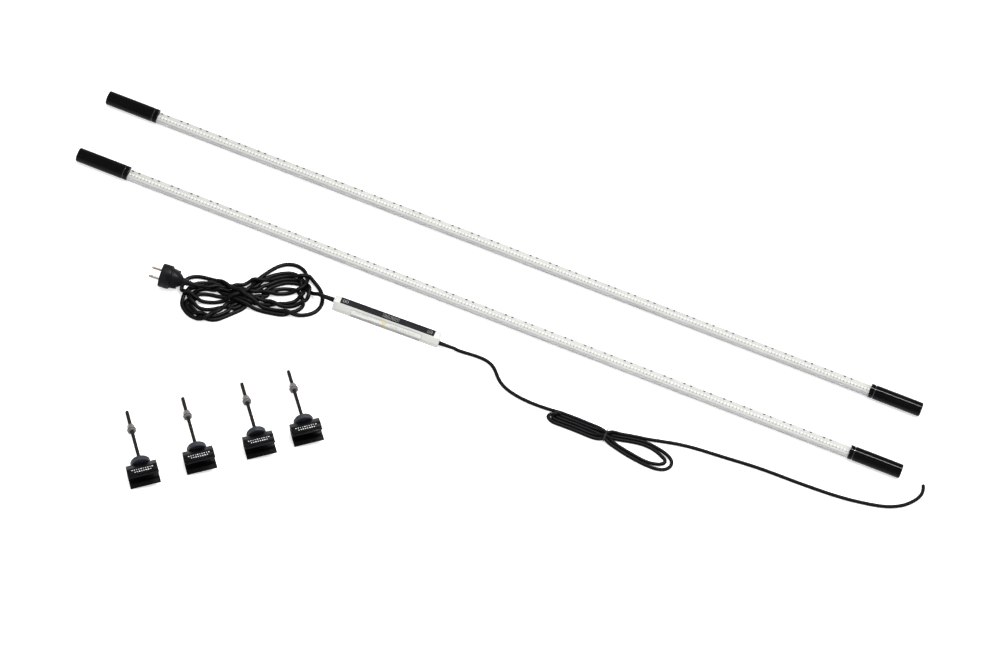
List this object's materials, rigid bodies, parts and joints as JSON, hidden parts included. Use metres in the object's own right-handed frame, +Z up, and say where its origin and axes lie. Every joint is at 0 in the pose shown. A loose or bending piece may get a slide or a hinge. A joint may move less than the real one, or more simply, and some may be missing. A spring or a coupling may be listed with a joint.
{
  "type": "led grow light",
  "caption": "Clear tube grow lights with black end caps, a slim in-line driver with a plug lead and a tied output lead, and threaded-rod hanger clips.",
  "frame": {"origin": "on the bench, under the middle of the kit without its leads", "axes": "+X along the tube lights, +Y from the hanger clips towards the tube lights, +Z up"},
  "size_m": [1.553, 0.7471, 0.0408],
  "materials": {
    "clear_cover": "clear extruded polycarbonate, gloss",
    "aluminium_carrier": "plain extruded aluminium",
    "led_board": "white solder mask on a light-emitting-diode strip board",
    "black_cap": "black moulded plastic, high gloss",
    "clear_gasket": "translucent silicone",
    "terminal_block": "green nylon",
    "driver_case": "bright extruded aluminium, satin",
    "driver_end": "light grey plastic",
    "circuit_board": "green solder mask",
    "transformer_core": "black ferrite and tape",
    "capacitor_can": "dark sleeve",
    "nameplate": "blank dark film",
    "clamp_plastic": "black moulded plastic, gloss",
    "hub_plastic": "dark blue-grey plastic, satin",
    "black_steel": "black oxide, oiled",
    "zinc_steel": "dull zinc plate",
    "washer_rubber": "black, matt",
    "lead_jacket": "black PVC jacket, soft sheen",
    "plug_rubber": "black moulded PVC",
    "pin_nickel": "nickel plate",
    "tie_wire": "black plastic-coated twist wire"
  },
  "bodies": {
    "driver": {"driver_case": "driver_case", "driver_end_left": "driver_end", "driver_end_right": "driver_end", "driver_nameplate": "nameplate", "driver_circuit_board": "circuit_board", "driver_transformer": "transformer_core", "driver_capacitor": "capacitor_can", "inlet_gland": "plug_rubber", "outlet_gland": "plug_rubber", "mains_lead_a": "lead_jacket", "mains_hank": "lead_jacket", "mains_lead_b": "lead_jacket", "plug_boot": "plug_rubber", "plug_body": "plug_rubber", "plug_pin_1": "pin_nickel", "plug_pin_2": "pin_nickel", "output_lead_a": "lead_jacket", "output_hank": "lead_jacket", "output_tie": "tie_wire", "output_lead_b": "lead_jacket"},
    "tube_1": {"tube_1_cover": "clear_cover", "tube_1_carrier": "aluminium_carrier", "tube_1_led_board": "led_board", "tube_1_terminal": "terminal_block", "tube_1_cap_left": "black_cap", "tube_1_cap_right": "black_cap", "tube_1_gasket_left": "clear_gasket", "tube_1_gasket_right": "clear_gasket"},
    "tube_2": {"tube_2_cover": "clear_cover", "tube_2_carrier": "aluminium_carrier", "tube_2_led_board": "led_board", "tube_2_terminal": "terminal_block", "tube_2_cap_left": "black_cap", "tube_2_cap_right": "black_cap", "tube_2_gasket_left": "clear_gasket", "tube_2_gasket_right": "clear_gasket"},
    "clip_1": {"clip_1_clamp": "clamp_plastic"},
    "clip_1_rod": {"clip_1_hub": "hub_plastic", "clip_1_lock_nut": "black_steel", "clip_1_rod": "black_steel"},
    "clip_1_nut": {"clip_1_nut": "zinc_steel", "clip_1_washer": "washer_rubber"},
    "clip_2": {"clip_2_clamp": "clamp_plastic"},
    "clip_2_rod": {"clip_2_hub": "hub_plastic", "clip_2_lock_nut": "black_steel", "clip_2_rod": "black_steel"},
    "clip_2_nut": {"clip_2_nut": "zinc_steel", "clip_2_washer": "washer_rubber"},
    "clip_3": {"clip_3_clamp": "clamp_plastic"},
    "clip_3_rod": {"clip_3_hub": "hub_plastic", "clip_3_lock_nut": "black_steel", "clip_3_rod": "black_steel"},
    "clip_3_nut": {"clip_3_nut": "zinc_steel", "clip_3_washer": "washer_rubber"},
    "clip_4": {"clip_4_clamp": "clamp_plastic"},
    "clip_4_rod": {"clip_4_hub": "hub_plastic", "clip_4_lock_nut": "black_steel", "clip_4_rod": "black_steel"},
    "clip_4_nut": {"clip_4_nut": "zinc_steel", "clip_4_washer": "washer_rubber"}
  },
  "joints": [
    {"name": "tube_1_lift", "type": "slide", "parent": "driver", "child": "tube_1", "axis": [0, 0, 1], "range_m": [0, 0.2]},
    {"name": "tube_2_lift", "type": "slide", "parent": "driver", "child": "tube_2", "axis": [0, 0, 1], "range_m": [0, 0.2]},
    {"name": "clip_1_lift", "type": "slide", "parent": "driver", "child": "clip_1", "axis": [0, 0, 1], "range_m": [0, 0.2]},
    {"name": "clip_1_swivel", "type": "hinge", "parent": "clip_1", "child": "clip_1_rod", "pos_m": [-0.4052, -0.3336, 0.01754], "axis": [-0.5407, 0.8326, -0.1205], "continuous": true},
    {"name": "clip_1_nut_travel", "type": "slide", "parent": "clip_1_rod", "child": "clip_1_nut", "axis": [-0.5407, 0.8326, -0.1205], "range_m": [-0.0555, 0.0305]},
    {"name": "clip_2_lift", "type": "slide", "parent": "driver", "child": "clip_2", "axis": [0, 0, 1], "range_m": [0, 0.2]},
    {"name": "clip_2_swivel", "type": "hinge", "parent": "clip_2", "child": "clip_2_rod", "pos_m": [-0.3332, -0.2676, 0.01754], "axis": [-0.5407, 0.8326, -0.1205], "continuous": true},
    {"name": "clip_2_nut_travel", "type": "slide", "parent": "clip_2_rod", "child": "clip_2_nut", "axis": [-0.5407, 0.8326, -0.1205], "range_m": [-0.0555, 0.0305]},
    {"name": "clip_3_lift", "type": "slide", "parent": "driver", "child": "clip_3", "axis": [0, 0, 1], "range_m": [0, 0.2]},
    {"name": "clip_3_swivel", "type": "hinge", "parent": "clip_3", "child": "clip_3_rod", "pos_m": [-0.2562, -0.1966, 0.01754], "axis": [-0.5407, 0.8326, -0.1205], "continuous": true},
    {"name": "clip_3_nut_travel", "type": "slide", "parent": "clip_3_rod", "child": "clip_3_nut", "axis": [-0.5407, 0.8326, -0.1205], "range_m": [-0.0555, 0.0305]},
    {"name": "clip_4_lift", "type": "slide", "parent": "driver", "child": "clip_4", "axis": [0, 0, 1], "range_m": [0, 0.2]},
    {"name": "clip_4_swivel", "type": "hinge", "parent": "clip_4", "child": "clip_4_rod", "pos_m": [-0.1952, -0.1386, 0.01754], "axis": [-0.5407, 0.8326, -0.1205], "continuous": true},
    {"name": "clip_4_nut_travel", "type": "slide", "parent": "clip_4_rod", "child": "clip_4_nut", "axis": [-0.5407, 0.8326, -0.1205], "range_m": [-0.0555, 0.0305]}
  ]
}
